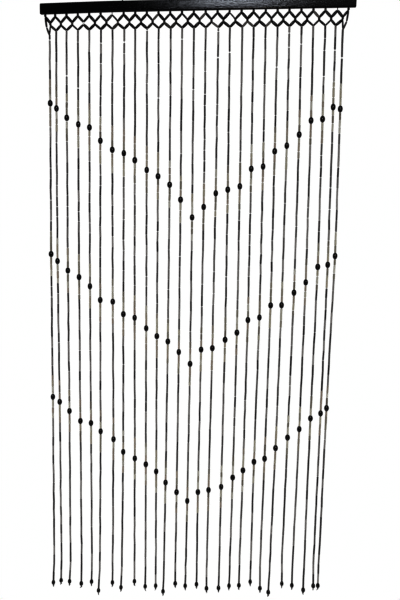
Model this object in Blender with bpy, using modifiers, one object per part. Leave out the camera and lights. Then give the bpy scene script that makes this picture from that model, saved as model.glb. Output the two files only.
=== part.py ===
"""Bead curtain on its hanging rail, for a doorway.

Twenty-seven strings of slim lacquered wooden tubes hang from a beaded net heading under a black
lacquered rail. Each string carries three oval balls, set so that they draw three chevrons across the
curtain, and ends in a bead and a knot. The rail hangs from hooks by two screw eyes in its top.

Metres, +Z up. The curtain hangs in the XZ plane with its front towards -Y. The origin lies midway
between the two eyes, at the height where a hook bears on their rings.
"""
import math
from collections import namedtuple

import bmesh
import bpy
from mathutils import Matrix

MM = 0.001

# Fit between pieces
SEAT_GAP = 0.3 * MM

# Rail, a wooden batten
RAIL_LENGTH = 895 * MM
RAIL_HEIGHT = 29.5 * MM
RAIL_DEPTH = 12 * MM
RAIL_EDGE_RADIUS = 2.5 * MM
RAIL_EDGE_STEPS = 3

# Screw eyes, bent from steel wire
EYE_SPACING = 410 * MM
EYE_WIRE_RADIUS = 1.2 * MM
EYE_RING_RADIUS = 6.0 * MM
EYE_NECK = 2.5 * MM
EYE_SHANK = 12 * MM
EYE_RING_STEPS = 20
EYE_WIRE_STEPS = 8

# Net heading: drops are measured from the rail's underside
NET_PITCH = 33.6 * MM
RIGHT_END_PITCH = 32.7 * MM
RIGHT_END_STEP = 6
OUTER_PITCH = 29.5 * MM
SECOND_HEAD_INSET = 3.7 * MM
OUTER_HEAD_INSET = 12.5 * MM
ROOT_DEPTH = 8 * MM
FORK_DROP = 6 * MM
CROSSING_DROP = 29 * MM
HEAD_DROP = 49 * MM
OUTER_HEAD_DROP = 59 * MM
OUTER_WAIST_INSET = 3.5 * MM
OUTER_WAIST_DROP = 30 * MM
CORD_RADIUS = 1.3 * MM
SIDE_CORD_RADIUS = 1.1 * MM
STUB_BEAD_RADIUS = 2.4 * MM
NET_BEAD_RADIUS = 2.9 * MM
SIDE_BEAD_RADIUS = 2.6 * MM
NET_BEAD_SPAN = (0.22, 0.78)
SIDE_BEAD_SPAN = (0.2, 0.55)
FLAT_ANGLE = math.radians(0.5)

# Strings: 27 in all, counted from the left
STRING_COUNT = 27
MIDDLE = STRING_COUNT // 2
TUBE_RADIUS = 2.6 * MM
CHEVRON_APEX_DROPS = (559 * MM, 1009 * MM, 1448 * MM)
CHEVRON_STEP = 24.8 * MM
END_DROP = 1725 * MM
FOOT_RISE = 75 * MM

# Balls and end beads
BALL_RADIUS = 7.0 * MM
BALL_HALF_LENGTH = 8.5 * MM
BALL_STATIONS = (-1.0, -0.7, -0.3, 0.3, 0.7, 1.0)
END_BEAD_RADIUS = 5.6 * MM
END_BEAD_HALF_LENGTH = 7.5 * MM
END_BEAD_STATIONS = (-1.0, -0.5, 0.5, 1.0)
KNOT_RADIUS = 2.6 * MM
KNOT_DROP = 10.5 * MM
TAIL_DROP = 14.5 * MM

# Strung by hand, so no two strings are alike. Each row is one string, in millimetres: how much lower
# its three balls and its end bead hang than the pattern says, and how far it sways to the right at
# its head, at each ball, at its foot a little above the end bead, and at the end bead.
Strung = namedtuple(
    "Strung",
    "upper middle lower end sway_head sway_upper sway_middle sway_lower sway_foot sway_end",
)
STRINGS = (
    Strung(16, 8, 11, 25, 0, -1, -4, -4, -6, -10),
    Strung(6, 4, 1, 16, -1, -3, -5, -3, -3, -5),
    Strung(8, 7, 4, 17, 0, -2, -3, -2, -3, -7),
    Strung(2, 1, 9, 21, 0, -1, -2, -1, 0, -2),
    Strung(-14, 3, -11, 12, 0, -1, -2, -1, 0, -2),
    Strung(-1, 19, -11, 40, 1, -2, -4, -4, -8, -13),
    Strung(0, -2, -13, 9, 1, 0, 1, 3, 0, -1),
    Strung(-15, 10, 1, 23, 2, 1, 0, 0, -4, -7),
    Strung(-20, -5, -5, -1, 0, 0, 1, 3, 3, 3),
    Strung(-17, 1, -13, 13, 1, 2, 3, 4, 5, 4),
    Strung(-24, -1, -17, 8, 1, 2, 2, 3, 4, 4),
    Strung(-25, -11, -8, 25, 2, 3, 2, -1, -4, -6),
    Strung(-7, -5, -4, -5, 1, 2, 2, 0, -1, -1),
    Strung(19, 5, -3, 0, 1, 3, 3, 0, -2, -3),
    Strung(13, -15, -9, -8, 1, 3, 2, -1, -1, -1),
    Strung(-2, 4, 7, 3, 3, 4, 2, -2, -3, -3),
    Strung(12, 2, 19, -2, 2, 5, 6, 3, 2, 1),
    Strung(27, 4, 12, -12, 3, 6, 7, 4, 1, 0),
    Strung(2, -10, 12, -16, 1, 4, 5, 1, -3, -3),
    Strung(20, 6, 8, -31, 1, 4, 5, 0, -2, -2),
    Strung(2, -6, 21, -12, 1, 3, 4, -1, -6, -4),
    Strung(11, 17, 11, -1, 1, 4, 3, -2, -9, -11),
    Strung(5, 4, 1, -33, 2, 5, 5, 0, -5, -3),
    Strung(-9, -2, -2, -30, 1, 4, 5, 1, -5, -5),
    Strung(12, -23, -12, -18, 1, 3, 5, 0, -3, -3),
    Strung(4, -5, -4, -34, 0, 2, 4, 0, -4, -2),
    Strung(34, -6, 4, -36, -1, 1, 3, -4, -9, -9),
)

# Heights that follow from the sizes above
RING_CENTRE_Z = -(EYE_RING_RADIUS - EYE_WIRE_RADIUS)
RAIL_TOP_Z = RING_CENTRE_Z - EYE_RING_RADIUS - EYE_WIRE_RADIUS - EYE_NECK
RAIL_UNDERSIDE_Z = RAIL_TOP_Z - RAIL_HEIGHT


def clear_scene():
    for item in list(bpy.data.objects):
        bpy.data.objects.remove(item, do_unlink=True)


def new_collection(name):
    collection = bpy.data.collections.new(name)
    bpy.context.scene.collection.children.link(collection)
    return collection


def new_object(name, mesh, collection):
    item = bpy.data.objects.new(name, mesh)
    collection.objects.link(item)
    return item


def make_material(name, color, roughness, metallic=0.0):
    material = bpy.data.materials.new(name)
    material.use_nodes = True
    shader = material.node_tree.nodes["Principled BSDF"]
    shader.inputs["Base Color"].default_value = (*color, 1.0)
    shader.inputs["Roughness"].default_value = roughness
    shader.inputs["Metallic"].default_value = metallic
    return material


def hide_cutter(cutter):
    cutter.hide_render = True
    cutter.display_type = "WIRE"


def add_boolean(target, other, operation):
    modifier = target.modifiers.new(operation.title(), "BOOLEAN")
    modifier.operation = operation
    modifier.solver = "EXACT"
    modifier.object = other


def is_outer(index):
    return abs(index - MIDDLE) == MIDDLE


def anchor_x(index):
    """Place along the rail of the root above string number index: the right end is drilled closer."""
    step = index - MIDDLE
    inner = min(abs(step), MIDDLE - 1)
    if step > RIGHT_END_STEP:
        x = RIGHT_END_STEP * NET_PITCH + (inner - RIGHT_END_STEP) * RIGHT_END_PITCH
    else:
        x = math.copysign(inner * NET_PITCH, step)
    return x + math.copysign(OUTER_PITCH, step) if is_outer(index) else x


def even_head_x(index):
    """Place along the rail where string number index would leave an even net."""
    step = index - MIDDLE
    inset = {MIDDLE: OUTER_HEAD_INSET, MIDDLE - 1: SECOND_HEAD_INSET}.get(abs(step), 0)
    return anchor_x(index) - math.copysign(inset, step)


def head_x(index):
    """Place along the rail where string number index leaves the net."""
    return even_head_x(index) + STRINGS[index].sway_head * MM


def make_hole_cutters(collection):
    """Blind holes: one under each root of the net, and one for each screw eye's shank."""
    mesh = bpy.data.meshes.new("rail_holes")
    shape = bmesh.new()
    hole_side = 2 * (CORD_RADIUS + SEAT_GAP)
    hole_reach = ROOT_DEPTH + SEAT_GAP
    for index in range(STRING_COUNT):
        place = Matrix.Translation((anchor_x(index), 0, RAIL_UNDERSIDE_Z))
        size = Matrix.Diagonal((hole_side, hole_side, 2 * hole_reach, 1))
        bmesh.ops.create_cube(shape, size=1, matrix=place @ size)
    for side in (-1, 1):
        bmesh.ops.create_cone(
            shape,
            cap_ends=True,
            segments=EYE_WIRE_STEPS,
            radius1=EYE_WIRE_RADIUS + SEAT_GAP,
            radius2=EYE_WIRE_RADIUS + SEAT_GAP,
            depth=2 * (EYE_SHANK + SEAT_GAP),
            matrix=Matrix.Translation((side * EYE_SPACING / 2, 0, RAIL_TOP_Z)),
        )
    shape.to_mesh(mesh)
    shape.free()
    cutter = new_object("rail_holes", mesh, collection)
    hide_cutter(cutter)
    return cutter


def make_rail(collection, cutters, material):
    """The wooden batten, its edges rounded and its holes drilled."""
    mesh = bpy.data.meshes.new("rail")
    shape = bmesh.new()
    size = Matrix.Diagonal((RAIL_LENGTH, RAIL_DEPTH, RAIL_HEIGHT, 1))
    bmesh.ops.create_cube(shape, size=1, matrix=size)
    shape.to_mesh(mesh)
    shape.free()
    mesh.materials.append(material)
    rail = new_object("rail", mesh, collection)
    rail.location.z = RAIL_TOP_Z - RAIL_HEIGHT / 2
    bevel = rail.modifiers.new("Rounded edges", "BEVEL")
    bevel.width = RAIL_EDGE_RADIUS
    bevel.segments = RAIL_EDGE_STEPS
    add_boolean(rail, make_hole_cutters(cutters), "DIFFERENCE")
    return rail


def make_screw_eye(name, x, collection, cutters, material):
    """A wire ring on a shank: the ring stands in the plane of the curtain."""
    bpy.ops.mesh.primitive_torus_add(
        major_radius=EYE_RING_RADIUS,
        minor_radius=EYE_WIRE_RADIUS,
        major_segments=EYE_RING_STEPS,
        minor_segments=EYE_WIRE_STEPS,
        rotation=(math.radians(90), 0, 0),
    )
    eye = bpy.context.active_object
    for holder in list(eye.users_collection):
        holder.objects.unlink(eye)
    collection.objects.link(eye)
    eye.name = name
    eye.data.name = name
    eye.location = (x, 0, RING_CENTRE_Z)
    eye.data.materials.append(material)
    eye.data.shade_smooth()
    eye.data.set_sharp_from_angle(angle=math.radians(40))

    mesh = bpy.data.meshes.new(name + "_shank")
    shape = bmesh.new()
    shank_top = -EYE_RING_RADIUS
    shank_foot = RAIL_TOP_Z - EYE_SHANK - RING_CENTRE_Z
    bmesh.ops.create_cone(
        shape,
        cap_ends=True,
        segments=EYE_WIRE_STEPS,
        radius1=EYE_WIRE_RADIUS,
        radius2=EYE_WIRE_RADIUS,
        depth=shank_top - shank_foot,
        matrix=Matrix.Translation((0, 0, (shank_top + shank_foot) / 2)),
    )
    shape.to_mesh(mesh)
    shape.free()
    shank = new_object(name + "_shank", mesh, cutters)
    shank.location = eye.location
    hide_cutter(shank)
    add_boolean(eye, shank, "UNION")
    return eye


class CordGraph:
    """The cord of the curtain as points with a radius, and the runs between them.

    Each stretch that no run joins to the others grows from a start of its own.
    """

    def __init__(self):
        self.points = []
        self.radii = []
        self.starts = []
        self.runs = []

    def point(self, x, drop, radius):
        """A point of the cord, drop metres under the rail's underside."""
        self.points.append((x, 0.0, RAIL_UNDERSIDE_Z - drop))
        self.radii.append(radius)
        return len(self.points) - 1

    def start(self, x, drop, radius):
        self.starts.append(self.point(x, drop, radius))
        return self.starts[-1]

    def run(self, first, second):
        self.runs.append((first, second))

    def leg(self, first, second, radius, span):
        """A run of the net with one barrel bead on it, over the given share of the run."""
        a, b = self.points[first], self.points[second]
        ends = []
        for share in span:
            x = a[0] + share * (b[0] - a[0])
            z = a[2] + share * (b[2] - a[2])
            ends.append(self.point(x, RAIL_UNDERSIDE_Z - z, radius))
        self.run(first, ends[0])
        self.run(*ends)
        self.run(ends[1], second)


def bead_rings(drop, radius, half_length, stations, least):
    """Drops and radii down an oval bead, never thinner than what it is strung on."""
    for station in stations:
        ring = radius * math.sqrt(1 - station * station)
        yield drop + station * half_length, max(ring, least)


def add_string(graph, index, head):
    """One string down from its head: three balls, the end bead, the knot and its tail."""
    row = STRINGS[index]
    climb = abs(index - MIDDLE) * CHEVRON_STEP
    lower_by = (row.upper, row.middle, row.lower)
    balls = [apex - climb + offset * MM for apex, offset in zip(CHEVRON_APEX_DROPS, lower_by)]
    end = END_DROP + row.end * MM
    head_drop = RAIL_UNDERSIDE_Z - graph.points[head][2]
    foot = end - FOOT_RISE
    stations = [head_drop, *balls, foot, end]
    sways = [row.sway_head, row.sway_upper, row.sway_middle, row.sway_lower]
    sways += [row.sway_foot, row.sway_end]

    def sway_at(drop):
        for high, low, first, last in zip(stations, stations[1:], sways, sways[1:]):
            if drop <= low:
                return (first + (last - first) * (drop - high) / (low - high)) * MM
        return sways[-1] * MM

    rings = []
    for ball in balls:
        rings += bead_rings(ball, BALL_RADIUS, BALL_HALF_LENGTH, BALL_STATIONS, TUBE_RADIUS)
    rings.append((foot, TUBE_RADIUS))
    rings += bead_rings(end, END_BEAD_RADIUS, END_BEAD_HALF_LENGTH, END_BEAD_STATIONS, CORD_RADIUS)
    rings += [(end + KNOT_DROP, KNOT_RADIUS), (end + TAIL_DROP, CORD_RADIUS)]
    above = head
    for drop, radius in rings:
        below = graph.point(even_head_x(index) + sway_at(drop), drop, radius)
        graph.run(above, below)
        above = below


def make_net_graph():
    """Roots, net and strings. Each root forks, and each fork's cords cross the neighbours'."""
    graph = CordGraph()
    forks, heads = [], []
    for index in range(STRING_COUNT):
        x = anchor_x(index)
        root = graph.point(x, -ROOT_DEPTH, CORD_RADIUS)
        mouth = graph.point(x, SEAT_GAP, CORD_RADIUS)
        forks.append(graph.point(x, FORK_DROP, STUB_BEAD_RADIUS))
        graph.run(root, mouth)
        graph.run(mouth, forks[-1])
        if is_outer(index):
            heads.append(graph.start(head_x(index), OUTER_HEAD_DROP, TUBE_RADIUS))
        else:
            heads.append(graph.point(head_x(index), HEAD_DROP, TUBE_RADIUS))
    graph.starts.append(forks[0])
    for left in range(STRING_COUNT - 1):
        crossing_x = (anchor_x(left) + anchor_x(left + 1)) / 2
        crossing = graph.point(crossing_x, CROSSING_DROP, CORD_RADIUS)
        for index in (left, left + 1):
            graph.leg(forks[index], crossing, NET_BEAD_RADIUS, NET_BEAD_SPAN)
            if not is_outer(index):
                graph.leg(crossing, heads[index], NET_BEAD_RADIUS, NET_BEAD_SPAN)
    for index, head in enumerate(heads):
        add_string(graph, index, head)
    return graph


def make_outer_cord_graph():
    """The long cord down each side of the net, from the last root to the last string."""
    graph = CordGraph()
    for index in (0, STRING_COUNT - 1):
        side = math.copysign(1, index - MIDDLE)
        fork = graph.start(anchor_x(index), FORK_DROP, SIDE_CORD_RADIUS)
        waist_x = anchor_x(index) - side * OUTER_WAIST_INSET
        waist = graph.point(waist_x, OUTER_WAIST_DROP, SIDE_CORD_RADIUS)
        head = graph.point(head_x(index), OUTER_HEAD_DROP + TUBE_RADIUS, SIDE_CORD_RADIUS)
        graph.leg(fork, waist, SIDE_BEAD_RADIUS, NET_BEAD_SPAN)
        graph.leg(waist, head, SIDE_BEAD_RADIUS, SIDE_BEAD_SPAN)
    return graph


def make_inner_cord_graph():
    """The cord beside it, from the last crossing down to the last string."""
    graph = CordGraph()
    for left, index in ((0, 0), (STRING_COUNT - 2, STRING_COUNT - 1)):
        crossing_x = (anchor_x(left) + anchor_x(left + 1)) / 2
        crossing = graph.start(crossing_x, CROSSING_DROP, SIDE_CORD_RADIUS)
        head = graph.point(head_x(index), OUTER_HEAD_DROP + TUBE_RADIUS, SIDE_CORD_RADIUS)
        graph.leg(crossing, head, SIDE_BEAD_RADIUS, SIDE_BEAD_SPAN)
    return graph


def grow_skin(name, graph, collection):
    """Square skin over a cord graph, its flat runs merged."""
    mesh = bpy.data.meshes.new(name)
    mesh.from_pydata(graph.points, graph.runs, [])
    grown = new_object(name, mesh, collection)
    skin = grown.modifiers.new("Skin", "SKIN")
    skin.branch_smoothing = 0
    for index, vertex in enumerate(mesh.skin_vertices[0].data):
        vertex.radius = (graph.radii[index], graph.radii[index])
        vertex.use_root = index in graph.starts
    flat = grown.modifiers.new("Flat runs", "DECIMATE")
    flat.decimate_type = "DISSOLVE"
    flat.angle_limit = FLAT_ANGLE
    return grown


def make_bead_strings(collection, cutters, material):
    """Net and strings in one piece: the side cords of the net are joined to it."""
    strings = grow_skin("bead_strings", make_net_graph(), collection)
    strings.data.materials.append(material)
    for name, graph in (
        ("outer_cords", make_outer_cord_graph()),
        ("inner_cords", make_inner_cord_graph()),
    ):
        cords = grow_skin(name, graph, cutters)
        hide_cutter(cords)
        add_boolean(strings, cords, "UNION")
    return strings


def build():
    clear_scene()
    parts = new_collection("bead_curtain")
    cutters = new_collection("bead_curtain_cutters")
    lacquer = make_material("black_lacquer", (0.008, 0.008, 0.009), 0.22)
    beads = make_material("black_stained_wood", (0.012, 0.011, 0.010), 0.3)
    steel = make_material("blackened_steel", (0.12, 0.12, 0.12), 0.35, metallic=1.0)
    make_rail(parts, cutters, lacquer)
    for name, side in (("screw_eye_left", -1), ("screw_eye_right", 1)):
        make_screw_eye(name, side * EYE_SPACING / 2, parts, cutters, steel)
    make_bead_strings(parts, cutters, beads)


build()
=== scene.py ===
import math
import random
from collections import namedtuple

import bmesh
import bpy
from mathutils import Matrix, Vector


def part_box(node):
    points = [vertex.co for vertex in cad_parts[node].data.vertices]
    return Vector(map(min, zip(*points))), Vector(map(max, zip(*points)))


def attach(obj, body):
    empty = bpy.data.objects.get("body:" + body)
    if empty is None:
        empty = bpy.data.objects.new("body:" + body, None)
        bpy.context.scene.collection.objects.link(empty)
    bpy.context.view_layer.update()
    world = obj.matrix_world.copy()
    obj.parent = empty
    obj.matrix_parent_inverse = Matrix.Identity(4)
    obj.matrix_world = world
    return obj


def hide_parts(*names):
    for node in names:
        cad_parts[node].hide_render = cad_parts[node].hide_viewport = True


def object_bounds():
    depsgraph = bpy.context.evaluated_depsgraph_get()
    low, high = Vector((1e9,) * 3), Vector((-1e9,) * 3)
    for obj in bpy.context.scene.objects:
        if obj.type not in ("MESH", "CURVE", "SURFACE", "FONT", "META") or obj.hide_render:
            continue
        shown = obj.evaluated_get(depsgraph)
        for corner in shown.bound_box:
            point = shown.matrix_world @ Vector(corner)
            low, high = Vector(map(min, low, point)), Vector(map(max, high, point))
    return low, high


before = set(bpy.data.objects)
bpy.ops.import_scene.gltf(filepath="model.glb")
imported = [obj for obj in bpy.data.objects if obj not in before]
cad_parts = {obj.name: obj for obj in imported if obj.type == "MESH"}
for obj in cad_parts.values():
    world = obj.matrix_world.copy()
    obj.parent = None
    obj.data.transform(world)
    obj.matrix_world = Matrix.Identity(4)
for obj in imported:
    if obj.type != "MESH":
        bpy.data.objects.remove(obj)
cad_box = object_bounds()

# Camera. It stands a little right of the curtain's middle and below the rail, turned left and tipped
# down, and was held a hair off level.
CAMERA_PLACE = (0.283, -2.037, -0.5945)
CAMERA_TURN_LEFT = math.radians(7.08)
CAMERA_TIP_DOWN = math.radians(7.48)
CAMERA_ROLL = math.radians(0.88)
CAMERA_LENS = 42
CAMERA_SENSOR_WIDTH = 36

camera = bpy.data.objects.new("camera", bpy.data.cameras.new("camera"))
bpy.context.scene.collection.objects.link(camera)
bpy.context.scene.camera = camera
camera.data.lens = CAMERA_LENS
camera.data.sensor_width = CAMERA_SENSOR_WIDTH
camera.matrix_world = (
    Matrix.Translation(CAMERA_PLACE)
    @ Matrix.Rotation(CAMERA_TURN_LEFT, 4, "Z")
    @ Matrix.Rotation(math.radians(90) - CAMERA_TIP_DOWN, 4, "X")
    @ Matrix.Rotation(CAMERA_ROLL, 4, "Z")
)

# Rail. A softwood batten with faintly crowned sides and rounded edges, sprayed with black gloss
# lacquer. It has warped down a little at its left end. A blind hole is drilled up into it for each
# root of the net, and a thin one down into it for each screw eye.
MM = 0.001
RAIL_EDGE_RADIUS = 2.6 * MM
RAIL_EDGE_STEPS = 5
RAIL_CROWN_CUTS = 9
RAIL_CROWN_SHARE = 0.07
RAIL_SHARP_ANGLE = math.radians(40)
RAIL_SMOOTH_ANGLE = math.radians(35)
WARP_START = -200 * MM
WARP_DROP = 3.1 * MM
WARP_POWER = 1.5
WARP_CUTS = 8
ROOT_HOLE_RADIUS = 1.7 * MM
ROOT_HOLE_DEPTH = 8.3 * MM
EYE_HOLE_RADIUS = 1.5 * MM
EYE_HOLE_DEPTH = 12.3 * MM
HOLE_SIDES = 12
# Points of a mesh that are this near are one. Roots reach at least this far into the rail, and stand
# farther apart than this.
MERGE_DISTANCE = 0.01 * MM
ROOT_REACH = 1 * MM
ROOT_SPACING = 6 * MM

rail_low, rail_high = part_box("rail")
rail_size = rail_high - rail_low
rail_middle = (rail_low + rail_high) / 2
UNDERSIDE = rail_low.z


def merged_copy(node):
    """The mesh of a CAD node as joined faces, to read the places of its parts from."""
    shape = bmesh.new()
    shape.from_mesh(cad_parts[node].data)
    bmesh.ops.remove_doubles(shape, verts=shape.verts, dist=MERGE_DISTANCE)
    return shape


def in_groups(items, key, gap):
    """Items sorted by key, in groups that lie at least gap apart."""
    groups = []
    for item in sorted(items, key=key):
        if groups and key(item) - key(groups[-1][-1]) < gap:
            groups[-1].append(item)
        else:
            groups.append([item])
    return groups


def linear(hex_colour):
    """An sRGB hex colour as linear red, green, blue and alpha."""
    channels = [int(hex_colour[place : place + 2], 16) / 255 for place in (0, 2, 4)]
    curve = [c / 12.92 if c <= 0.04045 else ((c + 0.055) / 1.055) ** 2.4 for c in channels]
    return (*curve, 1.0)


def add_node(tree, kind, sockets=None, **settings):
    """Adds a node. A socket is given its value, or the (node, output) that feeds it."""
    made = tree.nodes.new(kind)
    for name, value in settings.items():
        setattr(made, name, value)
    for name, value in (sockets or {}).items():
        if isinstance(value, tuple) and isinstance(value[0], bpy.types.Node):
            tree.links.new(value[0].outputs[value[1]], made.inputs[name])
        else:
            made.inputs[name].default_value = value
    return made


def new_material(name):
    """A material with an empty node tree."""
    material = bpy.data.materials.new(name)
    material.use_nodes = True
    material.node_tree.nodes.clear()
    return material


def black_gloss_lacquer_on_softwood():
    """Nitrocellulose lacquer sprayed on planed softwood. It is near black and glossy, but it has sunk
    into the grain, so a reflection breaks into streaks along the rail. The grain is drawn coarser
    than it is, so that the streaks show from across the room."""
    material = new_material("black_gloss_lacquer_on_softwood")
    tree = material.node_tree
    place = add_node(tree, "ShaderNodeTexCoord")
    grain_width = 3.2 * MM
    grain_depth = 4 * grain_width
    grain_length = 26 * MM
    along = (1 / grain_length, 1 / grain_depth, 1 / grain_width)
    grain_place = add_node(
        tree, "ShaderNodeMapping", {"Vector": (place, "Object"), "Scale": along}
    )
    grain = add_node(
        tree,
        "ShaderNodeTexNoise",
        {"Vector": (grain_place, "Vector"), "Scale": 1.0, "Detail": 5.0, "Roughness": 0.65},
    )
    sag_size = 22 * MM
    sag = add_node(
        tree,
        "ShaderNodeTexNoise",
        {"Vector": (place, "Object"), "Scale": 1 / sag_size, "Detail": 2.0},
    )
    gloss = add_node(
        tree,
        "ShaderNodeMapRange",
        {"Value": (grain, "Fac"), "From Min": 0.3, "From Max": 0.7, "To Min": 0.08, "To Max": 0.2},
    )
    tint = add_node(
        tree,
        "ShaderNodeMix",
        {0: (grain, "Fac"), 6: linear("040405"), 7: linear("0a0b0c")},
        data_type="RGBA",
    )
    grain_bump = add_node(
        tree,
        "ShaderNodeBump",
        {"Height": (grain, "Fac"), "Strength": 1.0, "Distance": 0.4 * MM},
    )
    sag_bump = add_node(
        tree,
        "ShaderNodeBump",
        {
            "Height": (sag, "Fac"),
            "Strength": 0.8,
            "Distance": 0.3 * MM,
            "Normal": (grain_bump, "Normal"),
        },
    )
    shader = add_node(
        tree,
        "ShaderNodeBsdfPrincipled",
        {
            "Base Color": (tint, 2),
            "Roughness": (gloss, "Result"),
            "Normal": (sag_bump, "Normal"),
            "IOR": 1.5,
        },
    )
    add_node(tree, "ShaderNodeOutputMaterial", {"Surface": (shader, "BSDF")})
    return material


def warp_at(x):
    """How far the rail hangs below straight."""
    share = max(0.0, (x - WARP_START) / (rail_low.x - WARP_START))
    return WARP_DROP * share**WARP_POWER


def join_pieces(pieces):
    """Joins the pieces, and no others, into the first of them."""
    bpy.ops.object.select_all(action="DESELECT")
    for piece in pieces:
        piece.select_set(True)
    bpy.context.view_layer.objects.active = pieces[0]
    bpy.ops.object.join()
    return bpy.context.object


def select_only(piece):
    bpy.ops.object.select_all(action="DESELECT")
    piece.select_set(True)
    bpy.context.view_layer.objects.active = piece


def cut_or_weld(piece, tool, operation):
    """Takes the tool from the piece, or welds it on, and then removes the tool."""
    select_only(piece)
    boolean = piece.modifiers.new("Boolean", "BOOLEAN")
    boolean.operation = operation
    boolean.solver = "EXACT"
    boolean.object = tool
    bpy.ops.object.modifier_apply(modifier=boolean.name)
    bpy.data.objects.remove(tool)


def drill(piece, holes, depth, radius, from_z):
    """Cuts blind holes into the piece at the given places along it."""
    drills = []
    for x in holes:
        bpy.ops.mesh.primitive_cylinder_add(
            vertices=HOLE_SIDES, radius=radius, depth=2 * depth, location=(x, 0, from_z)
        )
        drills.append(bpy.context.object)
    cut_or_weld(piece, join_pieces(drills), "DIFFERENCE")


net_and_strings = merged_copy("bead_strings")
root_points = [v.co.x for v in net_and_strings.verts if v.co.z > UNDERSIDE + ROOT_REACH]
root_groups = in_groups(root_points, lambda x: x, ROOT_SPACING)
root_x = [sum(group) / len(group) for group in root_groups]
EYES = ("screw_eye_left", "screw_eye_right")
eye_x = [(low.x + high.x) / 2 for low, high in map(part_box, EYES)]

bpy.ops.object.select_all(action="DESELECT")
bpy.ops.mesh.primitive_cube_add(size=1, location=rail_middle, scale=rail_size)
rail = bpy.context.object
rail.name = "lacquered_rail"
bpy.ops.object.transform_apply(location=True, rotation=True, scale=True)
bpy.ops.object.mode_set(mode="EDIT")
bpy.ops.mesh.select_mode(type="EDGE")
rail_shape = bmesh.from_edit_mesh(rail.data)
for edge in rail_shape.edges:
    rise = abs(edge.verts[0].co.z - edge.verts[1].co.z)
    edge.select_set(rise > rail_size.z / 2)
rail_shape.select_flush_mode()
bpy.ops.mesh.subdivide(number_cuts=RAIL_CROWN_CUTS)
rail_shape = bmesh.from_edit_mesh(rail.data)
for vertex in rail_shape.verts:
    up = 2 * (vertex.co.z - rail_middle.z) / rail_size.z
    vertex.co.y *= 1 - RAIL_CROWN_SHARE * up * up
bmesh.update_edit_mesh(rail.data)
bpy.ops.mesh.select_all(action="DESELECT")
bpy.ops.mesh.edges_select_sharp(sharpness=RAIL_SHARP_ANGLE)
bpy.ops.mesh.bevel(offset=RAIL_EDGE_RADIUS, segments=RAIL_EDGE_STEPS, affect="EDGES")
for cut in range(WARP_CUTS):
    cut_x = WARP_START + (rail_low.x - WARP_START) * cut / WARP_CUTS
    bpy.ops.mesh.select_all(action="SELECT")
    bpy.ops.mesh.bisect(plane_co=(cut_x, 0, 0), plane_no=(1, 0, 0))
bpy.ops.object.mode_set(mode="OBJECT")
drill(rail, root_x, ROOT_HOLE_DEPTH, ROOT_HOLE_RADIUS, UNDERSIDE)
drill(rail, eye_x, EYE_HOLE_DEPTH, EYE_HOLE_RADIUS, rail_high.z)
for vertex in rail.data.vertices:
    vertex.co.z -= warp_at(vertex.co.x)
bpy.ops.object.shade_smooth_by_angle(angle=RAIL_SMOOTH_ANGLE)
rail.data.materials.clear()
rail.data.materials.append(black_gloss_lacquer_on_softwood())
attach(rail, "root")
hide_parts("rail")

# Screw eyes. Each is one length of drawn steel wire: a shank that is screwed into the rail's top, a
# bend, and a ring whose end closes on the shank. The curtain hangs by them from two hooks.
EYE_WIRE_RADIUS = 1.2 * MM
EYE_RING_RADIUS = 6.0 * MM
EYE_SHANK = 12 * MM
EYE_SLIT = math.radians(9)
EYE_TIP = 3 * MM
EYE_TIP_SHARE = 0.25
FACING_DOWN = -0.9
EYE_END_BEVEL = 0.35 * EYE_WIRE_RADIUS
EYE_WIRE_SIDES = 16
EYE_RING_STEPS = 48
EYE_SMOOTH_ANGLE = math.radians(40)


def drawn_steel_wire():
    """Mild steel wire, drawn through a die and dulled with oil, so its shine is soft and has fine
    lines round the bend."""
    material = new_material("drawn_steel_wire")
    tree = material.node_tree
    place = add_node(tree, "ShaderNodeTexCoord")
    dulling_size = 2.5 * MM
    dulling = add_node(
        tree,
        "ShaderNodeTexNoise",
        {"Vector": (place, "Object"), "Scale": 1 / dulling_size, "Detail": 3.0},
    )
    tint = add_node(
        tree,
        "ShaderNodeMix",
        {0: (dulling, "Fac"), 6: linear("6f6d69"), 7: linear("9a9893")},
        data_type="RGBA",
    )
    gloss = add_node(
        tree,
        "ShaderNodeMapRange",
        {"Value": (dulling, "Fac"), "To Min": 0.25, "To Max": 0.5},
    )
    die_line = 0.25 * MM
    lines = add_node(
        tree,
        "ShaderNodeTexNoise",
        {"Vector": (place, "Object"), "Scale": 1 / die_line, "Detail": 1.0},
    )
    bump = add_node(
        tree,
        "ShaderNodeBump",
        {"Height": (lines, "Fac"), "Strength": 0.2, "Distance": 0.03 * MM},
    )
    shader = add_node(
        tree,
        "ShaderNodeBsdfPrincipled",
        {
            "Base Color": (tint, 2),
            "Metallic": 1.0,
            "Roughness": (gloss, "Result"),
            "Normal": (bump, "Normal"),
        },
    )
    add_node(tree, "ShaderNodeOutputMaterial", {"Surface": (shader, "BSDF")})
    return material


def select_faces(piece, wanted):
    """In edit mode: selects the faces that are wanted, and no others."""
    shape = bmesh.from_edit_mesh(piece.data)
    bpy.ops.mesh.select_mode(type="FACE")
    for face in shape.faces:
        face.select_set(wanted(face))
    shape.select_flush_mode()
    bmesh.update_edit_mesh(piece.data)


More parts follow.
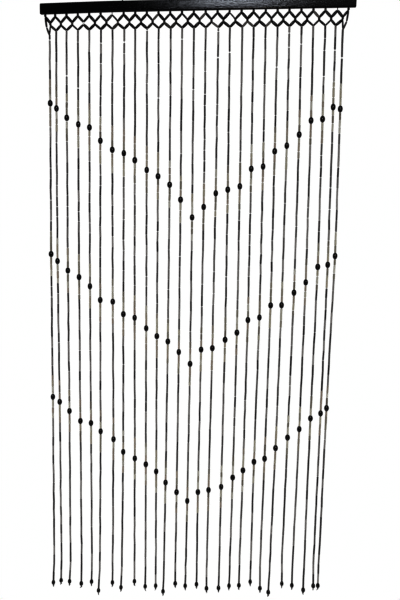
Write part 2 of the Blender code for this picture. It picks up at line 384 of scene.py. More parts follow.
def bend_screw_eye(name, node, material):
    """A wire disc spun round into an open ring, with a pointed shank welded under it."""
    low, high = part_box(node)
    x = (low.x + high.x) / 2
    ring_centre = Vector((x, 0, high.z - EYE_RING_RADIUS - EYE_WIRE_RADIUS))
    start = ring_centre + Vector((0, 0, -EYE_RING_RADIUS))
    bpy.ops.object.select_all(action="DESELECT")
    bpy.ops.mesh.primitive_circle_add(
        vertices=EYE_WIRE_SIDES,
        radius=EYE_WIRE_RADIUS,
        fill_type="NGON",
        location=start,
        rotation=(0, math.radians(90), 0),
    )
    eye = bpy.context.object
    eye.name = name
    bpy.ops.object.transform_apply(location=True, rotation=True, scale=True)
    bpy.ops.object.mode_set(mode="EDIT")
    bpy.ops.mesh.spin(
        steps=EYE_RING_STEPS,
        angle=math.radians(360) - EYE_SLIT,
        center=ring_centre,
        axis=(0, 1, 0),
    )
    bpy.ops.mesh.bevel(offset=EYE_END_BEVEL, segments=2, affect="EDGES")
    bpy.ops.mesh.select_all(action="SELECT")
    bpy.ops.mesh.normals_make_consistent(inside=False)
    bpy.ops.object.mode_set(mode="OBJECT")

    shank_top = start.z
    shank_foot = rail_high.z - EYE_SHANK
    bpy.ops.object.select_all(action="DESELECT")
    bpy.ops.mesh.primitive_cylinder_add(
        vertices=EYE_WIRE_SIDES,
        radius=EYE_WIRE_RADIUS,
        depth=shank_top - shank_foot - EYE_TIP,
        location=(x, 0, (shank_top + shank_foot + EYE_TIP) / 2),
    )
    shank = bpy.context.object
    bpy.ops.object.transform_apply(location=True, rotation=True, scale=True)
    bpy.ops.object.mode_set(mode="EDIT")
    select_faces(shank, lambda face: face.normal.z < FACING_DOWN)
    bpy.ops.mesh.extrude_region_move(TRANSFORM_OT_translate={"value": (0, 0, -EYE_TIP)})
    bpy.ops.transform.resize(value=(EYE_TIP_SHARE, EYE_TIP_SHARE, 1))
    bpy.ops.object.mode_set(mode="OBJECT")

    cut_or_weld(eye, shank, "UNION")
    bpy.ops.object.shade_smooth_by_angle(angle=EYE_SMOOTH_ANGLE)
    eye.data.materials.clear()
    eye.data.materials.append(material)
    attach(eye, "root")
    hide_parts(node)


steel = drawn_steel_wire()
for eye_node in EYES:
    bend_screw_eye("wire_" + eye_node, eye_node, steel)

# Places of the net and the strings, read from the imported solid. Above the heads is the net. Below
# them each string is a stack of square rings: its head, six down each of three balls, one at the last
# bend, four down the end bead, then the knot and the tail. The end beads hang a little higher here.
HEAD_DROP = 49 * MM
OUTER_HEAD_DROP = 59 * MM
CROSSING_DROP = 28.5 * MM
FORK_DROP = 7.4 * MM
HEAD_REACH = 1 * MM
RING_SPACING = 1.2 * MM
RINGS_ON_STRING = 26
BALL_RINGS = ((1, 7), (7, 13), (13, 19))
END_BEAD_RINGS = (20, 24)
END_BEAD_RISE = Vector((0, 0, 2.2 * MM))
TAIL_RING = 25

StringLine = namedtuple("StringLine", "head balls end tail rings")


def separate_parts(shape):
    """The groups of vertices that hang together."""
    left = set(shape.verts)
    parts = []
    while left:
        reached = [left.pop()]
        for vertex in reached:
            for edge in vertex.link_edges:
                other = edge.other_vert(vertex)
                if other in left:
                    left.remove(other)
                    reached.append(other)
        parts.append(reached)
    return parts


def mean_point(vertices):
    return sum((v.co for v in vertices), Vector()) / len(vertices)


def middle_of_rings(rings, span):
    """The middle of the rings in a span, which ends before its second number."""
    first, end = span
    return sum(rings[first:end], Vector()) / (end - first)


def read_string_lines(shape):
    """The places on each string, from the left-hand string on."""
    net = [v for v in shape.verts if v.co.z > UNDERSIDE - HEAD_DROP - HEAD_REACH]
    bmesh.ops.delete(shape, geom=net, context="VERTS")
    lines = []
    for part in sorted(separate_parts(shape), key=lambda p: mean_point(p).x):
        rings = [mean_point(r) for r in in_groups(part, lambda v: -v.co.z, RING_SPACING)]
        rings = rings[-RINGS_ON_STRING:]
        lines.append(
            StringLine(
                head=rings[0],
                balls=[middle_of_rings(rings, span) for span in BALL_RINGS],
                end=middle_of_rings(rings, END_BEAD_RINGS) + END_BEAD_RISE,
                tail=rings[TAIL_RING],
                rings=rings,
            )
        )
    return lines


strings = read_string_lines(net_and_strings)
net_and_strings.free()
LAST = len(strings) - 1


def below_rail(x, drop):
    """The point at this drop under the rail's underside, which follows its warp."""
    return Vector((x, 0, UNDERSIDE - warp_at(x) - drop))


forks = [below_rail(x, FORK_DROP) for x in root_x]
crossings = [below_rail((a + b) / 2, CROSSING_DROP) for a, b in zip(root_x, root_x[1:])]
heads = []
for number, string in enumerate(strings):
    head_drop = OUTER_HEAD_DROP if number in (0, LAST) else HEAD_DROP
    heads.append(below_rail(string.head.x, head_drop))

# Net beads. Long barrels of black lacquered wood, one on each leg of each mesh, slimmer ones at the
# sides. A short bead sits under each hole of the rail and at each crossing, where both cords go
# through it.
LEG_BEAD_RADIUS = 3.7 * MM
SIDE_BEAD_RADIUS = 2.6 * MM
SLIM_BEAD_RADIUS = 2.4 * MM
LEG_BEAD_HALF_LENGTH = 10.5 * MM
LEG_FULLNESS = 2.2
LEG_PROFILE_STEPS = 10
LEG_SHARE = 0.95
SIDE_LEG_SHARE = 0.97
NECK_RISE = 2.4 * MM
SHORT_BEAD_RADIUS = 3.2 * MM
SHORT_BEAD_HALF_LENGTH = 3.4 * MM
SHORT_FULLNESS = 2.2
SHORT_PROFILE_STEPS = 6
SHORT_BEAD_GAP = 0.4 * MM
NET_BORE = 0.8 * MM
NET_BEAD_SIDES = 12
BEAD_SMOOTH_ANGLE = math.radians(50)
OUTER_WAIST_INSET = 3.7 * MM
OUTER_WAIST_DROP = 37 * MM
# A tone runs from 0, the darkest stain, to 1, worn pale. Unworn beads have any tone up to theirs.
WORN_TONE = 1.0
UNWORN_TONES = 0.9
GIRTH_SPREAD = 0.06
NET_GIRTH_SPREAD = 0.16

# Legs whose bead is slim, is one of the side beads, or is worn pale. A leg is named by its string and
# its crossing, counted from 0 at the left, and by its half of the mesh.
SLIM_LEGS = {
    (6, 6, "upper"),
    (12, 12, "upper"),
    (16, 16, "upper"),
    (3, 2, "lower"),
    (23, 22, "lower"),
    (23, 23, "lower"),
    (24, 24, "lower"),
}
SIDE_LEGS = {(0, 0, "lower"), (LAST, LAST - 1, "lower")}
WORN_LEGS = {
    (10, 9, "upper"),
    (14, 13, "upper"),
    (23, 23, "upper"),
    (15, 14, "lower"),
    (17, 17, "lower"),
    (18, 17, "lower"),
    (19, 19, "lower"),
}
# Holes and crossings, counted from 0, that have no short bead.
BARE_HOLES = {6, 25}
BARE_CROSSINGS = {3}

Leg = namedtuple("Leg", "start end name bead_radius share")

random_bead = random.Random(27)


def turn_bead(name, profile, sides):
    """Turns a bored bead about the Z axis. A ring is extruded along the half profile of (radius,
    height) points, from the bore's foot round to its top, and then down the bore to where it began."""
    radius, height = profile[0]
    bpy.ops.object.select_all(action="DESELECT")
    bpy.ops.mesh.primitive_circle_add(vertices=sides, radius=radius, location=(0, 0, height))
    bead = bpy.context.object
    bead.name = name
    bpy.ops.object.transform_apply(location=True, rotation=True, scale=True)
    bpy.ops.object.mode_set(mode="EDIT")
    bpy.ops.mesh.select_mode(type="VERT")
    bpy.ops.mesh.select_all(action="SELECT")
    for next_radius, next_height in (*profile[1:], profile[0]):
        rise = (0, 0, next_height - height)
        bpy.ops.mesh.extrude_region_move(TRANSFORM_OT_translate={"value": rise})
        bpy.ops.transform.resize(value=(next_radius / radius, next_radius / radius, 1))
        radius, height = next_radius, next_height
    bpy.ops.mesh.select_all(action="SELECT")
    bpy.ops.mesh.remove_doubles(threshold=MERGE_DISTANCE)
    bpy.ops.mesh.normals_make_consistent(inside=False)
    bpy.ops.object.mode_set(mode="OBJECT")
    bpy.ops.object.shade_smooth_by_angle(angle=BEAD_SMOOTH_ANGLE)
    bead.data.attributes.new("tone", "FLOAT", "POINT")
    return bead


def rounded_profile(radius, half_length, bore, steps, fullness):
    """Half profile of an oval bead. A fullness over 1 makes it a barrel, under 1 a spindle."""
    profile = [(bore, -half_length)]
    for step in range(1, steps):
        angle = math.pi * step / steps
        height = -half_length * math.cos(angle)
        profile.append((bore + (radius - bore) * math.sin(angle) ** (1 / fullness), height))
    profile.append((bore, half_length))
    return profile


def thread_beads(name, bead, seats, material, tones=None, girth_spread=GIRTH_SPREAD):
    """Copies the bead to each seat, a pair of points that it reaches between, and joins the copies.
    A bead's foot is its +Z end."""
    heights = [vertex.co.z for vertex in bead.data.vertices]
    bead_length = max(heights) - min(heights)
    copies = []
    for number, (top, foot) in enumerate(seats):
        reach = foot - top
        copy = bead.copy()
        copy.data = bead.data.copy()
        girth = 1 + random_bead.uniform(-girth_spread, girth_spread)
        stretch = Matrix.Diagonal((girth, girth, reach.length / bead_length, 1))
        spin = Matrix.Rotation(random_bead.uniform(0, math.tau), 4, "Z")
        turn = reach.to_track_quat("Z", "Y").to_matrix().to_4x4()
        copy.data.transform(Matrix.Translation((top + foot) / 2) @ turn @ spin @ stretch)
        tone = tones[number] if tones else random_bead.random()
        copy.data.attributes["tone"].data.foreach_set("value", [tone] * len(copy.data.vertices))
        bpy.context.scene.collection.objects.link(copy)
        copies.append(copy)
    bpy.data.objects.remove(bead)
    beads = join_pieces(copies)
    beads.name = name
    beads.data.name = name
    beads.data.materials.clear()
    beads.data.materials.append(material)
    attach(beads, "root")
    return beads


def lacquered_bead_wood(name, tones, least_rough, most_rough, coat=0.0):
    """Turned hardwood, stained and dipped in lacquer. Each bead took up its own share of the stain, so
    the tone and the gloss differ from bead to bead, over a fine grain along the string. The tones are
    (share, colour) pairs."""
    material = new_material(name)
    tree = material.node_tree
    place = add_node(tree, "ShaderNodeTexCoord")
    tone = add_node(tree, "ShaderNodeAttribute", attribute_name="tone")
    grain_width = 0.5 * MM
    grain_length = 9 * MM
    along = (1 / grain_width, 1 / grain_width, 1 / grain_length)
    grain_place = add_node(
        tree, "ShaderNodeMapping", {"Vector": (place, "Object"), "Scale": along}
    )
    grain = add_node(
        tree,
        "ShaderNodeTexNoise",
        {"Vector": (grain_place, "Vector"), "Scale": 1.0, "Detail": 3.0},
    )
    grain_shift = add_node(
        tree,
        "ShaderNodeMapRange",
        {"Value": (grain, "Fac"), "To Min": -0.12, "To Max": 0.12},
    )
    share = add_node(
        tree,
        "ShaderNodeMath",
        {0: (tone, "Fac"), 1: (grain_shift, "Result")},
        operation="ADD",
    )
    tint = add_node(tree, "ShaderNodeValToRGB", {"Fac": (share, "Value")})
    stops = tint.color_ramp.elements
    first_stops = len(stops)
    for number, (position, colour) in enumerate(tones):
        stop = stops[number] if number < first_stops else stops.new(position)
        stop.position = position
        stop.color = linear(colour)
    gloss = add_node(
        tree,
        "ShaderNodeMapRange",
        {"Value": (tone, "Fac"), "To Min": least_rough, "To Max": most_rough},
    )
    bump = add_node(
        tree,
        "ShaderNodeBump",
        {"Height": (grain, "Fac"), "Strength": 0.3, "Distance": 0.08 * MM},
    )
    shader = add_node(
        tree,
        "ShaderNodeBsdfPrincipled",
        {
            "Base Color": (tint, "Color"),
            "Roughness": (gloss, "Result"),
            "Normal": (bump, "Normal"),
            "IOR": 1.5,
            "Coat Weight": coat,
            "Coat Roughness": 0.06,
        },
    )
    add_node(tree, "ShaderNodeOutputMaterial", {"Surface": (shader, "BSDF")})
    return material


def part_way(start, finish, share):
    """A seat on the middle share of the way from start to finish."""
    rest = (1 - share) / 2
    return start.lerp(finish, rest), start.lerp(finish, 1 - rest)


def leg_bead_radius(leg_name):
    if leg_name in SLIM_LEGS:
        return SLIM_BEAD_RADIUS
    return SIDE_BEAD_RADIUS if leg_name in SIDE_LEGS else LEG_BEAD_RADIUS


def outer_waist(number, side):
    """The point where the cord at the net's side turns in, under an outer fork."""
    return below_rail(forks[number].x - side * OUTER_WAIST_INSET, OUTER_WAIST_DROP)


def net_legs():
    """The legs of the net, each with the radius of its bead and the share of it that the bead takes."""
    half_crossing = Vector((0, 0, SHORT_BEAD_HALF_LENGTH))
    neck_rise = Vector((0, 0, NECK_RISE))
    legs = []
    for number, crossing in enumerate(crossings):
        for string_number in (number, number + 1):
            halves = {
                "upper": (forks[string_number], crossing + half_crossing),
                "lower": (crossing - half_crossing, heads[string_number] + neck_rise),
            }
            for half_name, (start, end) in halves.items():
                name = (string_number, number, half_name)
                legs.append(Leg(start, end, name, leg_bead_radius(name), LEG_SHARE))
    for number, side in ((0, -1), (LAST, 1)):
        waist = outer_waist(number, side)
        halves = {"upper": (forks[number], waist), "lower": (waist, heads[number])}
        for half_name, (start, end) in halves.items():
            name = (number, None, half_name)
            legs.append(Leg(start, end, name, SIDE_BEAD_RADIUS, SIDE_LEG_SHARE))
    return legs


net_wood = lacquered_bead_wood(
    "black_lacquered_net_wood",
    ((0.0, "0a0a0a"), (1.0, "5c5a57"), (0.8, "1e1d1c")),
    least_rough=0.16,
    most_rough=0.42,
)
for name, bead_radius in (
    ("net_leg_beads", LEG_BEAD_RADIUS),
    ("net_side_beads", SIDE_BEAD_RADIUS),
    ("net_slim_beads", SLIM_BEAD_RADIUS),
):
    seats, tones = [], []
    for leg in net_legs():
        if leg.bead_radius == bead_radius:
            seats.append(part_way(leg.start, leg.end, leg.share))
            unworn_tone = UNWORN_TONES * random_bead.random()
            tones.append(WORN_TONE if leg.name in WORN_LEGS else unworn_tone)
    barrel = turn_bead(
        "barrel",
        rounded_profile(
            bead_radius, LEG_BEAD_HALF_LENGTH, NET_BORE, LEG_PROFILE_STEPS, LEG_FULLNESS
        ),
        NET_BEAD_SIDES,
    )
    thread_beads(name, barrel, seats, net_wood, tones, NET_GIRTH_SPREAD)

half_short = Vector((0, 0, SHORT_BEAD_HALF_LENGTH))
short_middles = [
    below_rail(x, SHORT_BEAD_HALF_LENGTH + SHORT_BEAD_GAP)
    for number, x in enumerate(root_x)
    if number not in BARE_HOLES
]
short_middles += [
    crossing for number, crossing in enumerate(crossings) if number not in BARE_CROSSINGS
]
short_bead = turn_bead(
    "short",
    rounded_profile(
        SHORT_BEAD_RADIUS,
        SHORT_BEAD_HALF_LENGTH,
        NET_BORE,
        SHORT_PROFILE_STEPS,
        SHORT_FULLNESS,
    ),
    NET_BEAD_SIDES,
)
short_seats = [(middle + half_short, middle - half_short) for middle in short_middles]
thread_beads("net_short_beads", short_bead, short_seats, net_wood)

# Black tubes. Lacquered wooden tubes about 30 mm long, threaded end to end, with their rims broken.
# Here and there a string has caught, and two tubes stand a few millimetres apart.
TUBE_RADIUS = 2.6 * MM
TUBE_BORE = 0.9 * MM
TUBE_LENGTH = 30.5 * MM
TUBE_UNEVENNESS = 0.06
TUBE_RIM = 0.4 * MM
TUBE_RIM_LENGTH = 0.6 * MM
TUBE_SIDES = 10
HEAD_OVERLAP = 1.8 * MM
BEAD_GAP = 0.3 * MM
JOINT_PLAY = 1.6 * MM
JOINT_PLAY_POWER = 3
LEAN_SHARE = 0.018
BROWN_ABOVE_BALL = 69 * MM
BROWN_BELOW_BALL = 67 * MM
END_BEAD_HALF_LENGTH = 7.3 * MM

# Where a string is slack: the string, counted from 0 at the left, the drop below the rail and the
# width of the place, both in mm. They go down each string in order.
Slack = namedtuple("Slack", "string drop width")
SLACKS = (
    Slack(0, 74, 2.1),
    Slack(2, 175, 4.1),
    Slack(3, 210, 3.1),
    Slack(5, 85, 2.6),
    Slack(5, 142, 2.1),
    Slack(7, 83, 4.6),
    Slack(9, 51.5, 2.6),
    Slack(10, 239, 3.0),
    Slack(12, 77, 2.5),
    Slack(13, 216, 2.5),
    Slack(14, 229, 2.1),
    Slack(15, 51, 2.2),
    Slack(15, 57, 2.2),
    Slack(15, 128, 3.3),
    Slack(16, 114, 2.5),
    Slack(17, 418, 2.4),
    Slack(20, 156, 2.8),
    Slack(21, 65, 2.8),
    Slack(21, 103, 2.5),
    Slack(21, 434, 3.1),
    Slack(22, 95, 3.0),
    Slack(22, 403, 2.5),
    Slack(24, 182, 2.4),
    Slack(25, 112, 2.6),
    Slack(26, 133, 4.1),
    Slack(26, 744, 2.9),
)

# The points that each string's cord goes through, noted as its beads are threaded.
cord_points = [[head] for head in heads]


def on_string(string, drop):
    """The point of a string at this drop below the rail's straight underside."""
    z = UNDERSIDE - drop
    for above, below in zip(string.rings, string.rings[1:]):
        if z >= below.z:
            return above.lerp(below, (above.z - z) / (above.z - below.z))
    return string.rings[-1].copy()


def drop_of(point):
    """How far a point is below the rail's straight underside."""
    return UNDERSIDE - point.z


def seat_run(number, top, foot, bead_length, unevenness):
    """Seats for a run of beads that fills a string between two drops. They are of uneven length and
    stand a little out of line."""
    count = max(1, round((foot - top) / bead_length))
    shares = [1 + random_bead.uniform(-unevenness, unevenness) for _ in range(count)]
    drops = [top]
    for share in shares:
        drops.append(drops[-1] + (foot - top) * share / sum(shares))
    joints = [on_string(strings[number], drop) for drop in drops]
    lean = LEAN_SHARE * bead_length
    for joint in joints[1:-1]:
        joint += Vector((random_bead.uniform(-lean, lean), random_bead.uniform(-lean, lean), 0))
    cord_points[number] += joints
    seats = []
    for upper, lower in zip(joints, joints[1:]):
        along = (lower - upper).normalized()
        play = JOINT_PLAY * random_bead.random() ** JOINT_PLAY_POWER
        seats.append((upper + along * (BEAD_GAP / 2 + play), lower - along * BEAD_GAP / 2))
    return seats


def black_stretches(number, string):
    """Drops between which the string has black tubes, parted where it is slack."""
    ball_drops = [drop_of(ball) for ball in string.balls]
    tops = [drop_of(heads[number]) - HEAD_OVERLAP] + [drop + BROWN_BELOW_BALL for drop in ball_drops]
    feet = [drop - BROWN_ABOVE_BALL for drop in ball_drops]
    feet.append(drop_of(string.end) - END_BEAD_HALF_LENGTH)
    stretches = []
    for top, foot in zip(tops, feet):
        for slack in SLACKS:
            middle = slack.drop * MM
            if slack.string == number and top < middle < foot:
                stretches.append((top, middle - slack.width * MM / 2))
                top = middle + slack.width * MM / 2
        stretches.append((top, foot))
    return stretches


def tube_profile(radius, length, rim, rim_length):
    """Half profile of a bored tube whose rims are broken."""
    half_length = length / 2
    return [
        (TUBE_BORE, -half_length),
        (radius - rim, -half_length),
        (radius, -half_length + rim_length),
        (radius, half_length - rim_length),
        (radius - rim, half_length),
        (TUBE_BORE, half_length),
    ]


# The tubes' greys are partly worn lacquer and partly painted sheen: the tones are lighter than black
# lacquer, and stand in for the glare on the round tubes that the glossless side fills don't give.
tube_wood_and_painted_sheen = lacquered_bead_wood(
    "black_tube_wood_and_painted_sheen",
    ((0.0, "2e2e2e"), (1.0, "888684"), (0.5, "595857")),
    least_rough=0.25,
    most_rough=0.5,
)
tube_seats = []
for number, string in enumerate(strings):
    for top, foot in black_stretches(number, string):
        tube_seats += seat_run(number, top, foot, TUBE_LENGTH, TUBE_UNEVENNESS)
tube = turn_bead(
    "tube", tube_profile(TUBE_RADIUS, TUBE_LENGTH, TUBE_RIM, TUBE_RIM_LENGTH), TUBE_SIDES
)
tubes = thread_beads("black_tube_beads", tube, tube_seats, tube_wood_and_painted_sheen)
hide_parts("bead_strings")

# Brown beads. Above and below each ball are a few shorter tubes of wood, no two of a length, stained
# from olive to reddish brown and varnished.
BROWN_RADIUS = 2.9 * MM
BROWN_LENGTH = 18 * MM
BROWN_UNEVENNESS = 0.35
BROWN_RIM = 0.5 * MM
BROWN_RIM_LENGTH = 1 * MM
BROWN_SIDES = 8
BALL_HALF_LENGTH = 9.2 * MM

brown_wood = lacquered_bead_wood(
    "brown_varnished_bead_wood",
    ((0.0, "68635b"), (1.0, "a6a59f"), (0.25, "838177"), (0.5, "8f867d"), (0.75, "989588")),
    least_rough=0.25,
    most_rough=0.5,
)
brown_seats = []
for number, string in enumerate(strings):
    for ball in string.balls:
        middle = drop_of(ball)
        above = (middle - BROWN_ABOVE_BALL, middle - BALL_HALF_LENGTH)
        below = (middle + BALL_HALF_LENGTH, middle + BROWN_BELOW_BALL)
        for top, foot in (above, below):
            brown_seats += seat_run(number, top, foot, BROWN_LENGTH, BROWN_UNEVENNESS)
brown = turn_bead(
    "brown", tube_profile(BROWN_RADIUS, BROWN_LENGTH, BROWN_RIM, BROWN_RIM_LENGTH), BROWN_SIDES
)
thread_beads("brown_tube_beads", brown, brown_seats, brown_wood)

# Balls. Oval beads of turned wood, bored and dipped in thick black lacquer. Each string carries three,
# and together they draw the three chevrons.
BALL_RADIUS = 6.85 * MM
BALL_BORE = 1.2 * MM
BALL_FULLNESS = 0.93
BALL_PROFILE_STEPS = 14
BALL_SIDES = 20

ball_wood = lacquered_bead_wood(
    "black_dipped_ball_wood",
    ((0.0, "080808"), (1.0, "131212")),
    least_rough=0.12,
    most_rough=0.25,
    coat=1.0,
)
half_ball = Vector((0, 0, BALL_HALF_LENGTH))
ball_seats = [
    (ball + half_ball, ball - half_ball) for string in strings for ball in string.balls
]
oval = turn_bead(
    "oval",
    rounded_profile(
        BALL_RADIUS, BALL_HALF_LENGTH, BALL_BORE, BALL_PROFILE_STEPS, BALL_FULLNESS
    ),
    BALL_SIDES,
)
thread_beads("oval_balls", oval, ball_seats, ball_wood)

# End beads. A smaller bead of the same wood and lacquer closes each string. It is shaped like a pip,
# with its thick end down, and rests on the knot.
END_BEAD_RADIUS = 5.5 * MM
END_BEAD_TAPER = 0.16
END_BEAD_FULLNESS = 1.0
END_BEAD_PROFILE_STEPS = 12
END_BEAD_SIDES = 16

half_end_bead = Vector((0, 0, END_BEAD_HALF_LENGTH))
end_seats = [(string.end + half_end_bead, string.end - half_end_bead) for string in strings]
pip_profile = [
    (radius * (1 + END_BEAD_TAPER * height / END_BEAD_HALF_LENGTH), height)
    for radius, height in rounded_profile(
        END_BEAD_RADIUS,
        END_BEAD_HALF_LENGTH,
        BALL_BORE,
        END_BEAD_PROFILE_STEPS,
        END_BEAD_FULLNESS,
    )
]
pip = turn_bead("pip", pip_profile, END_BEAD_SIDES)
thread_beads("end_beads", pip, end_seats, ball_wood)

# Cords. Black polyester thread, two plies twisted. From each hole of the rail two lengths part to the
# crossings on either side, come back together at the head of the string and go down through all its
# beads. They show only where two beads stand apart.
NET_CORD_RADIUS = 0.55 * MM
STRING_CORD_RADIUS = 0.5 * MM
CORD_ROUNDING = 1
CORD_SMOOTH_ANGLE = math.radians(50)
HOLE_END_GAP = 0.6 * MM
CORD_BELOW_END_BEAD = 1 * MM
LEAST_CORD_STEP = 0.1 * MM


def black_polyester_thread():
    """Twisted polyester thread, dyed black. Its plies shine a little, and turn round the cord."""
    material = new_material("black_polyester_thread")
    tree = material.node_tree
    place = add_node(tree, "ShaderNodeTexCoord")
    ply_length = 1.4 * MM
    twist = add_node(
        tree,
        "ShaderNodeTexWave",
        {"Vector": (place, "Object"), "Scale": 1 / (2 * ply_length), "Distortion": 1.5},
        bands_direction="DIAGONAL",
    )
    tint = add_node(
        tree,
        "ShaderNodeMix",
        {0: (twist, "Fac"), 6: linear("141313"), 7: linear("343230")},
        data_type="RGBA",
    )
    bump = add_node(
        tree,
        "ShaderNodeBump",
        {"Height": (twist, "Fac"), "Strength": 0.5, "Distance": 0.15 * MM},
    )
    shader = add_node(
        tree,
        "ShaderNodeBsdfPrincipled",
        {
            "Base Color": (tint, 2),
            "Roughness": 0.6,
            "Sheen Weight": 0.2,
            "Normal": (bump, "Normal"),
        },
    )
    add_node(tree, "ShaderNodeOutputMaterial", {"Surface": (shader, "BSDF")})
    return material


def lay_cords(name, routes, radius, material):
    """Round cords along the routes, closed at both ends, as one mesh."""
    curve = bpy.data.curves.new(name, "CURVE")
    curve.dimensions = "3D"
    curve.bevel_depth = radius
    curve.bevel_resolution = CORD_ROUNDING
    curve.use_fill_caps = True
    for route in routes:
        spline = curve.splines.new("POLY")
        spline.points.add(len(route) - 1)
        for point, place in zip(spline.points, route):
            point.co = (*place, 1)
    cords = bpy.data.objects.new(name, curve)
    bpy.context.scene.collection.objects.link(cords)
    select_only(cords)
    bpy.ops.object.convert(target="MESH")
    cords = bpy.context.object
    bpy.ops.object.shade_smooth_by_angle(angle=CORD_SMOOTH_ANGLE)
    cords.data.materials.clear()
    cords.data.materials.append(material)
    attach(cords, "root")
    return cords


def net_routes():
    """Two cords from each hole: fork, crossing and back to the head of the same string."""
    routes = []
    for number, fork in enumerate(forks):
        hole = below_rail(fork.x, HOLE_END_GAP - ROOT_HOLE_DEPTH)
        for side, crossing_number in ((-1, number - 1), (1, number)):
            aside = Vector((side * NET_CORD_RADIUS, 0, 0))
            if 0 <= crossing_number < len(crossings):
                turn = crossings[crossing_number]
            else:
                turn = outer_waist(number, side)
            routes.append([hole + aside, fork + aside, turn - aside, heads[number] + aside])
    return routes


def string_route(number):
    """Through the joints of all the string's beads, to just under its end bead."""
    below_bead = strings[number].end - Vector((0, 0, END_BEAD_HALF_LENGTH + CORD_BELOW_END_BEAD))
    points = sorted([*cord_points[number], below_bead], key=lambda point: -point.z)
    route = [points[0]]
    for point in points[1:]:
        if route[-1].z - point.z > LEAST_CORD_STEP:
            route.append(point)
    return route


thread = black_polyester_thread()
lay_cords("net_cords", net_routes(), NET_CORD_RADIUS, thread)
string_routes = [string_route(number) for number in range(len(strings))]
lay_cords("string_cords", string_routes, STRING_CORD_RADIUS, thread)

# Knots. Under its end bead the doubled cord of each string is tied in an overhand knot, and cut a few
# millimetres below it. The two cut ends stand off a little, each string's to its own side.
KNOT_CORD_RADIUS = 0.75 * MM
KNOT_SPREAD = 0.72 * MM
KNOT_DEPTH = 0.8 * MM
KNOT_BELOW_BEAD = 2.9 * MM
KNOT_STEPS = 30
KNOT_OPEN_ANGLE = 0.3
# From the middle of the knot, the points by which the cord comes in, and the one by which it leaves.
KNOT_ENTRY = (Vector((0, 0, 4.2 * MM)), Vector((-1.6 * MM, KNOT_DEPTH, 2.2 * MM)))
KNOT_EXIT = Vector((-1.4 * MM, -KNOT_DEPTH, -2.2 * MM))
TAIL_CORD_RADIUS = 0.6 * MM
TAIL_SPLAY = 0.7 * MM
TAIL_RISE = 1 * MM
# How far to the right each string's cut ends lean, in mm, from the left-hand string on.
TAIL_LEANS = (
    0, -3, -1, -4, 0, 1, -2, -1, 2, 3, -2, -1, 0, 1, 0, 1, 0, 0, 1, 1, 0, -1, 0, 0, 1, 0, -3
)


def knot_route(centre, turn):
    """An overhand knot, whose turns follow a trefoil. The cord comes down one side, goes round twice
    and leaves by the same side."""
    route = list(KNOT_ENTRY)
    round_angle = math.tau - 2 * KNOT_OPEN_ANGLE
    for step in range(KNOT_STEPS + 1):
        angle = math.pi + KNOT_OPEN_ANGLE + round_angle * step / KNOT_STEPS
        along = math.sin(angle) + 2 * math.sin(2 * angle)
        across = math.cos(angle) - 2 * math.cos(2 * angle)
        depth = -math.sin(3 * angle)
        route.append(Vector((KNOT_SPREAD * across, KNOT_DEPTH * depth, -KNOT_SPREAD * along)))
    route.append(KNOT_EXIT)
    return [centre + turn @ point for point in route]


knot_routes, tail_routes = [], []
for string, lean in zip(strings, TAIL_LEANS):
    knot = string.end - Vector((0, 0, END_BEAD_HALF_LENGTH + KNOT_BELOW_BEAD))
    turn = Matrix.Rotation(random_bead.uniform(0, math.tau), 3, "Z")
    route = knot_route(knot, turn)
    knot_routes.append(route)
    cut = Vector((knot.x + lean * MM, knot.y, string.tail.z + TAIL_RISE))
    for side in (-1, 1):
        splay = Vector((side * TAIL_SPLAY, random_bead.uniform(-TAIL_SPLAY, TAIL_SPLAY), 0))
        tail_routes.append([route[-1], route[-1].lerp(cut, 0.5) + 0.5 * splay, cut + splay])
lay_cords("end_knots", knot_routes, KNOT_CORD_RADIUS, thread)
lay_cords("cord_tails", tail_routes, TAIL_CORD_RADIUS, thread)

# Stage. A pale floor under the curtain, below the camera's view, a soft window and a bright wall over
# the camera, a dim lamp beside it, a tall soft light at either side, and a white room.
FLOOR_BELOW = 0.2
FLOOR_HALF_WIDTH = 1.1
FLOOR_NEAR = -1.5
FLOOR_FAR = 0.2
FILL_ASIDE = 1.9
FILL_LEVEL = -1.35
ROOM_CAST = 0.25
PICTURE_GAMMA = 0.5

floor_z = cad_box[0].z - FLOOR_BELOW
bpy.ops.object.select_all(action="DESELECT")
bpy.ops.mesh.primitive_plane_add(
    size=1,
    location=(0, (FLOOR_NEAR + FLOOR_FAR) / 2, floor_z),
    scale=(2 * FLOOR_HALF_WIDTH, FLOOR_FAR - FLOOR_NEAR, 1),
)
floor = bpy.context.object
floor.name = "floor"
pale = new_material("pale_floor_paint")
pale_shader = add_node(
    pale.node_tree,
    "ShaderNodeBsdfPrincipled",
    {"Base Color": linear("f4f3f0"), "Roughness": 0.8},
)
add_node(pale.node_tree, "ShaderNodeOutputMaterial", {"Surface": (pale_shader, "BSDF")})
floor.data.materials.append(pale)


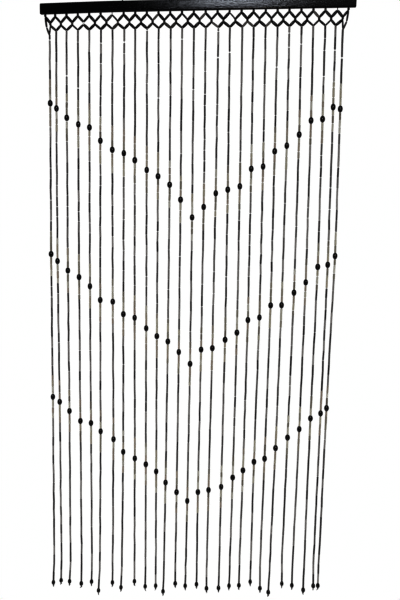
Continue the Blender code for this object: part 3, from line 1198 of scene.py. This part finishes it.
def soft_light(name, place, aim, width, height, power, colour):
    """A soft light of this size in metres and power in watts, turned from its place to its aim."""
    data = bpy.data.lights.new(name, "AREA")
    data.shape = "RECTANGLE"
    data.size = width
    data.size_y = height
    data.energy = power
    data.color = linear(colour)[:3]
    light = bpy.data.objects.new(name, data)
    light.location = place
    light.rotation_euler = (Vector(aim) - Vector(place)).to_track_quat("-Z", "Y").to_euler()
    bpy.context.scene.collection.objects.link(light)
    return light


soft_light(
    "window",
    place=(0.1, -2.5, 0.82),
    aim=(0.1, 0, -0.4),
    width=0.66,
    height=0.4,
    power=19,
    colour="eef2fb",
)
soft_light(
    "bright_wall",
    place=(0.9, -2.6, 0.9),
    aim=(0.4, 0, -0.2),
    width=1.1,
    height=1.2,
    power=3,
    colour="ffffff",
)
soft_light(
    "lamp",
    place=(0.35, -2.6, -0.3),
    aim=(0, 0, -0.9),
    width=0.4,
    height=0.35,
    power=10,
    colour="fff1e2",
)
for side, name in ((-1, "left_fill"), (1, "right_fill")):
    fill = soft_light(
        name,
        place=(side * FILL_ASIDE, -1.5, FILL_LEVEL),
        aim=(0, 0, FILL_LEVEL),
        width=0.5,
        height=1.6,
        power=46,
        colour="ffffff",
    )
    fill.visible_glossy = False

world = bpy.data.worlds.new("white_room")
bpy.context.scene.world = world
world.use_nodes = True
world.node_tree.nodes.clear()
white = linear("ffffff")
seen = add_node(world.node_tree, "ShaderNodeBackground", {"Color": white, "Strength": 1.0})
cast = add_node(world.node_tree, "ShaderNodeBackground", {"Color": white, "Strength": ROOM_CAST})
rays = add_node(world.node_tree, "ShaderNodeLightPath")
room = add_node(
    world.node_tree,
    "ShaderNodeMixShader",
    {0: (rays, "Is Camera Ray"), 1: (cast, "Background"), 2: (seen, "Background")},
)
add_node(world.node_tree, "ShaderNodeOutputWorld", {"Surface": (room, "Shader")})

# The picture is printed hard, so that thin strings hold their black against the white.
bpy.context.scene.view_settings.view_transform = "Standard"
bpy.context.scene.view_settings.gamma = PICTURE_GAMMA
